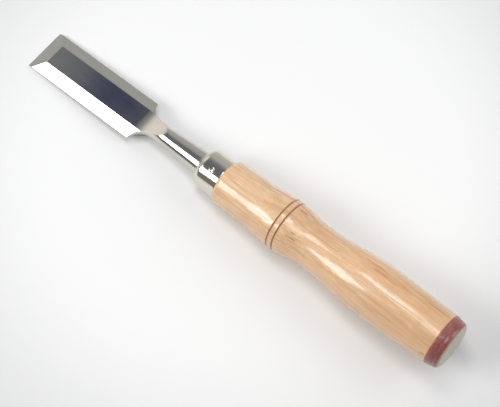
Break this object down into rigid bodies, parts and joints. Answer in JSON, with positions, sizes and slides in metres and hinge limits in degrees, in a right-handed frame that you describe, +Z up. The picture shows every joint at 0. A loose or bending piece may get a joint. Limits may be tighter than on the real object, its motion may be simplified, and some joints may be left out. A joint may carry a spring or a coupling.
{
  "type": "bench chisel",
  "caption": "Bevel-edged bench chisel with a round steel neck, a cup ferrule, a turned wooden handle and a leather striking cap, lying at rest.",
  "frame": {"origin": "on the bench surface, under the middle of the whole tool's bounding box, with the tool lying at rest", "axes": "+Z up from the bench, +X along the tool from the cutting edge to the butt, bevelled side of the blade up; the handle's axis rises 4.2 degrees towards +X"},
  "size_m": [0.2775, 0.03, 0.037],
  "materials": {
    "polished_steel": "polished blade steel, finely ground",
    "nickel_plate": "bright nickel plate",
    "lacquered_maple": "clear gloss lacquer over pale maple",
    "burgundy_leather": "dyed and sealed sole leather"
  },
  "bodies": {
    "root": {"blade": "polished_steel", "ferrule": "nickel_plate", "handle": "lacquered_maple", "leather_washer_inner": "burgundy_leather", "leather_washer_outer": "burgundy_leather"}
  },
  "joints": []
}
